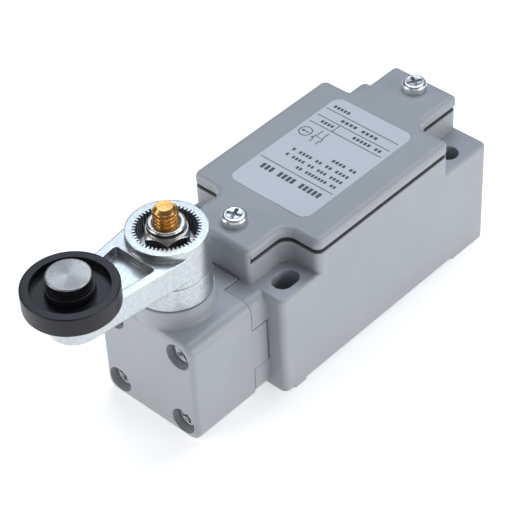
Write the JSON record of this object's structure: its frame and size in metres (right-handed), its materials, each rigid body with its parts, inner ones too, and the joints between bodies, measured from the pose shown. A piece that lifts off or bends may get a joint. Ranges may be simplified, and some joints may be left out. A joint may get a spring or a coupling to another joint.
{
  "type": "limit switch",
  "caption": "Die-cast limit switch with a side roller lever on a toothed shaft hub, a square operating head, mounting ears and a bottom conduit entry.",
  "frame": {"origin": "centre of the 30 x 60 mm mounting-hole pattern, on the mounting plane", "axes": "+X to the right when looking at the front cover, +Y towards the operating head and lever, +Z out of the front cover"},
  "size_m": [0.0402, 0.1316, 0.0586],
  "materials": {
    "grey_paint": "smooth satin powder paint on a die casting",
    "black_rubber": "matt",
    "zinc_plated_steel": "bright zinc plated",
    "bright_steel": "bright rolled steel",
    "turned_steel": "turned, with fine concentric marks",
    "yellow_passivated_steel": "yellow passivated zinc",
    "zinc_casting": "as cast, tumbled and zinc passivated",
    "bronze": "sintered, oiled",
    "brass": "stamped",
    "silver": "silver alloy",
    "spring_steel": "drawn wire",
    "nylon": "natural nylon",
    "black_plastic": "moulded, slightly worn",
    "block_plastic": "moulded thermoset",
    "plunger_plastic": "moulded",
    "label_film": "satin printed film"
  },
  "bodies": {
    "root": {"housing": "grey_paint", "front_cover": "grey_paint", "cover_gasket": "black_rubber", "cover_screws": "zinc_plated_steel", "label_plate": "label_film", "head_housing": "grey_paint", "head_gasket": "black_rubber", "head_screws": "zinc_plated_steel", "upper_bush": "bronze", "lower_bush": "bronze", "shaft_seal": "black_rubber", "tappet_guide": "brass", "contact_block_base": "block_plastic", "contact_block_lid": "block_plastic", "contact_block_screws": "zinc_plated_steel", "no_fixed_contacts": "brass", "nc_fixed_contacts": "brass", "fixed_contact_tips": "silver", "terminal_screws": "zinc_plated_steel", "terminal_clamps": "zinc_plated_steel", "earth_screw": "zinc_plated_steel", "earth_clamp": "brass"},
    "lever": {"lever_shaft": "yellow_passivated_steel", "cam": "bright_steel", "cam_pin": "bright_steel", "drive_disc": "zinc_casting", "lever_arm": "zinc_casting", "hub_washer": "zinc_plated_steel", "lock_nut": "bright_steel", "nut_insert": "nylon", "roller_pin": "turned_steel"},
    "roller_body": {"roller": "black_plastic"},
    "tappet_body": {"tappet": "turned_steel", "tappet_spring": "spring_steel"},
    "plunger_body": {"contact_plunger": "plunger_plastic", "no_bridge": "brass", "nc_bridge": "brass", "moving_contact_tips": "silver", "bridge_springs": "spring_steel", "plunger_spring": "spring_steel"}
  },
  "joints": [
    {"name": "lever_swing", "type": "hinge", "parent": "root", "child": "lever", "pos_m": [0, 0.0517, 0.0152], "axis": [0, 0, 1], "range_deg": [0, 70], "stiffness_Nm_per_rad": 0.06, "springref_deg": -28.65},
    {"name": "roller_spin", "type": "hinge", "parent": "lever", "child": "roller_body", "pos_m": [0, 0.08085, 0.053], "axis": [0, 0, 1], "continuous": true},
    {"name": "tappet_slide", "type": "slide", "parent": "root", "child": "tappet_body", "axis": [0, -1, 0], "range_m": [0, 0.004], "deforming": ["tappet_spring"]},
    {"name": "plunger_slide", "type": "slide", "parent": "root", "child": "plunger_body", "axis": [0, -1, 0], "range_m": [0, 0.004], "deforming": ["plunger_spring"]}
  ],
  "couplings": [
    {"joint": "tappet_slide", "follows": "lever_swing", "m_per_rad": 0.003274},
    {"joint": "plunger_slide", "follows": "lever_swing", "m_per_rad": 0.003274}
  ]
}
